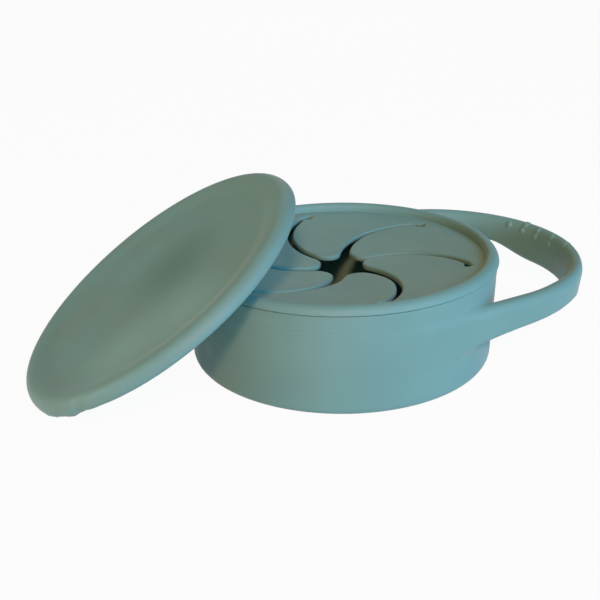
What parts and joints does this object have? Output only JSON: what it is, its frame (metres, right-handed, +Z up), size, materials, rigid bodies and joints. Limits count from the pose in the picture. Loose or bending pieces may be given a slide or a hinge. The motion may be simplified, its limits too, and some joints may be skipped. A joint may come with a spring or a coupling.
{
  "type": "collapsible toddler snack cup",
  "caption": "Collapsible silicone snack cup with a slit-flap lid that small hands reach through, a loop handle with grip dots and a loose dust lid.",
  "frame": {"origin": "centre of the base's flat underside, on the surface that the cup stands on", "axes": "+Z up; +X from the cup's centre along the handle's middle; the dust lid leans on the -X side"},
  "size_m": [0.1871, 0.1134, 0.058],
  "materials": {
    "cup_silicone": "matte moulded silicone, sage teal, with a soft sheen",
    "snack_lid_silicone": "matte moulded silicone, sage, with a soft sheen on the rolled rim",
    "dust_lid_silicone": "matte moulded silicone, sage"
  },
  "bodies": {
    "base": {"base_cup": "cup_silicone", "fold_wall": "cup_silicone"},
    "collar": {"collar": "cup_silicone", "handle": "cup_silicone"},
    "snack_lid": {"snack_lid": "snack_lid_silicone"},
    "flap_1": {"flap_1": "snack_lid_silicone"},
    "flap_2": {"flap_2": "snack_lid_silicone"},
    "flap_3": {"flap_3": "snack_lid_silicone"},
    "flap_4": {"flap_4": "snack_lid_silicone"},
    "flap_5": {"flap_5": "snack_lid_silicone"},
    "flap_6": {"flap_6": "snack_lid_silicone"},
    "dust_lid": {"dust_lid": "dust_lid_silicone"}
  },
  "joints": [
    {"name": "collar_rise", "type": "slide", "parent": "base", "child": "collar", "axis": [0, 0, 1], "range_m": [0, 0.0346], "deforming": ["fold_wall"]},
    {"name": "snack_lid_lift", "type": "slide", "parent": "collar", "child": "snack_lid", "axis": [0, 0, 1], "range_m": [0, 0.06]},
    {"name": "flap_1_bend", "type": "hinge", "parent": "snack_lid", "child": "flap_1", "pos_m": [0.02444, 0.02576, 0.0309], "axis": [-0.7254, 0.6884, 0], "range_deg": [-48, 30], "stiffness_Nm_per_rad": 0.004, "springref_deg": 2.58},
    {"name": "flap_2_bend", "type": "hinge", "parent": "snack_lid", "child": "flap_2", "pos_m": [-0.01008, 0.03404, 0.0309], "axis": [-0.9588, -0.284, 0], "range_deg": [-48, 30], "stiffness_Nm_per_rad": 0.004, "springref_deg": 2.58},
    {"name": "flap_3_bend", "type": "hinge", "parent": "snack_lid", "child": "flap_3", "pos_m": [-0.03453, 0.00829, 0.0309], "axis": [-0.2334, -0.9724, 0], "range_deg": [-48, 30], "stiffness_Nm_per_rad": 0.004, "springref_deg": 2.58},
    {"name": "flap_4_bend", "type": "hinge", "parent": "snack_lid", "child": "flap_4", "pos_m": [-0.02444, -0.02576, 0.0309], "axis": [0.7254, -0.6884, 0], "range_deg": [-48, 30], "stiffness_Nm_per_rad": 0.004, "springref_deg": 2.58},
    {"name": "flap_5_bend", "type": "hinge", "parent": "snack_lid", "child": "flap_5", "pos_m": [0.01008, -0.03404, 0.0309], "axis": [0.9588, 0.284, 0], "range_deg": [-48, 30], "stiffness_Nm_per_rad": 0.004, "springref_deg": 2.58},
    {"name": "flap_6_bend", "type": "hinge", "parent": "snack_lid", "child": "flap_6", "pos_m": [0.03453, -0.00829, 0.0309], "axis": [0.2334, 0.9724, 0], "range_deg": [-48, 30], "stiffness_Nm_per_rad": 0.004, "springref_deg": 2.58},
    {"name": "dust_lid_lift", "type": "slide", "parent": "snack_lid", "child": "dust_lid", "axis": [0, 0, 1], "range_m": [0, 0.07]}
  ]
}
